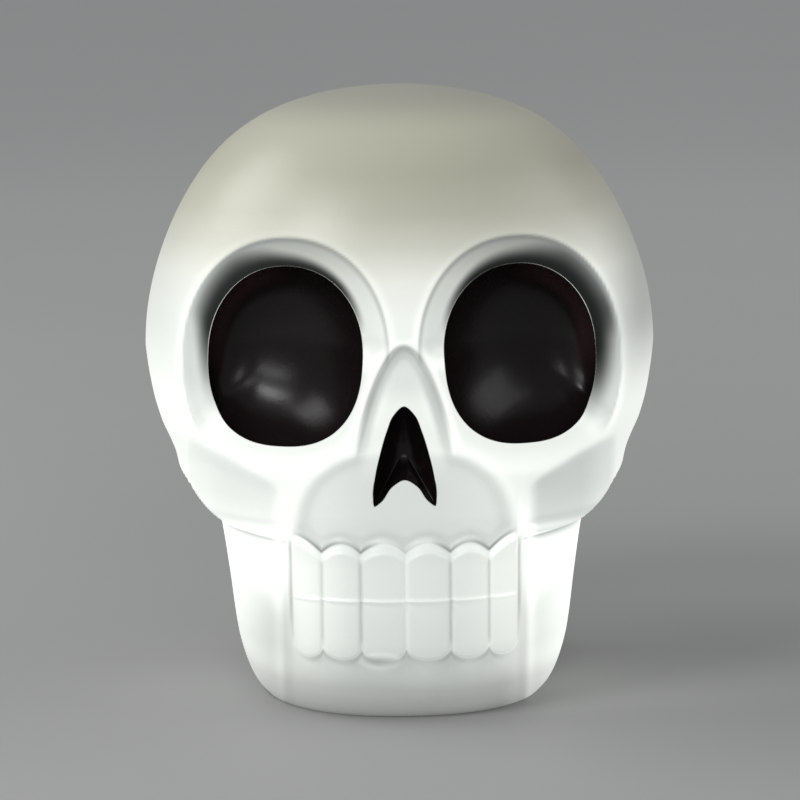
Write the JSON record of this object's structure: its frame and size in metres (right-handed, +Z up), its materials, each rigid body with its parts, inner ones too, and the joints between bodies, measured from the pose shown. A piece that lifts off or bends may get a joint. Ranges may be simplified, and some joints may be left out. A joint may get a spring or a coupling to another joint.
{
  "type": "halloween skull decoration",
  "caption": "Table-top skull light: translucent bone shells with gloss black socket cups and a battery light unit with a hinged door at the back.",
  "frame": {"origin": "centre of the object's bounding box at its base, where it stands", "axes": "+Z up, the face looks along -Y, +X is to the right of a viewer who faces the skull"},
  "size_m": [0.2586, 0.2533, 0.3065],
  "materials": {
    "bone_shell": "satin translucent moulding with a fine grain, lit from inside",
    "socket_black": "deep gloss black-brown",
    "unit_grey": "fine spark-eroded texture",
    "steel": "zinc-plated",
    "contact_brass": "plated spring strip",
    "board_green": "solder resist",
    "cell_sleeve": "plain printed film sleeve",
    "led_lens": "clear warm epoxy",
    "frosted_dome": "frosted diffuser",
    "switch_black": "fine matt"
  },
  "bodies": {
    "skull": {"front_shell": "bone_shell", "rear_shell": "bone_shell", "foot_plate": "bone_shell", "eye_cup_left": "socket_black", "eye_cup_right": "socket_black", "nose_cup": "socket_black", "light_housing": "unit_grey", "door_hinge_pin": "steel", "unit_screw_1": "steel", "unit_screw_2": "steel", "unit_screw_3": "steel", "unit_screw_4": "steel", "switch_body": "switch_black", "battery_cell_1": "cell_sleeve", "battery_cell_2": "cell_sleeve", "battery_cell_3": "cell_sleeve", "contact_plate_top": "contact_brass", "contact_plate_bottom": "contact_brass", "led_board": "board_green", "board_screw_1": "steel", "board_screw_2": "steel", "led_1": "led_lens", "led_2": "led_lens", "led_3": "led_lens", "led_4": "led_lens", "diffuser_dome": "frosted_dome", "foot_screw_1": "steel", "foot_screw_2": "steel", "foot_screw_3": "steel", "foot_screw_4": "steel"},
    "door": {"battery_door": "unit_grey", "door_screw": "steel"},
    "switch": {"switch_knob": "switch_black"}
  },
  "joints": [
    {"name": "door_hinge", "type": "hinge", "parent": "skull", "child": "door", "pos_m": [0, 0.07984, 0.02295], "axis": [-1, 0, 0], "range_deg": [0, 100]},
    {"name": "switch_slide", "type": "slide", "parent": "skull", "child": "switch", "axis": [0, 0, -1], "range_m": [0, 0.004]}
  ]
}
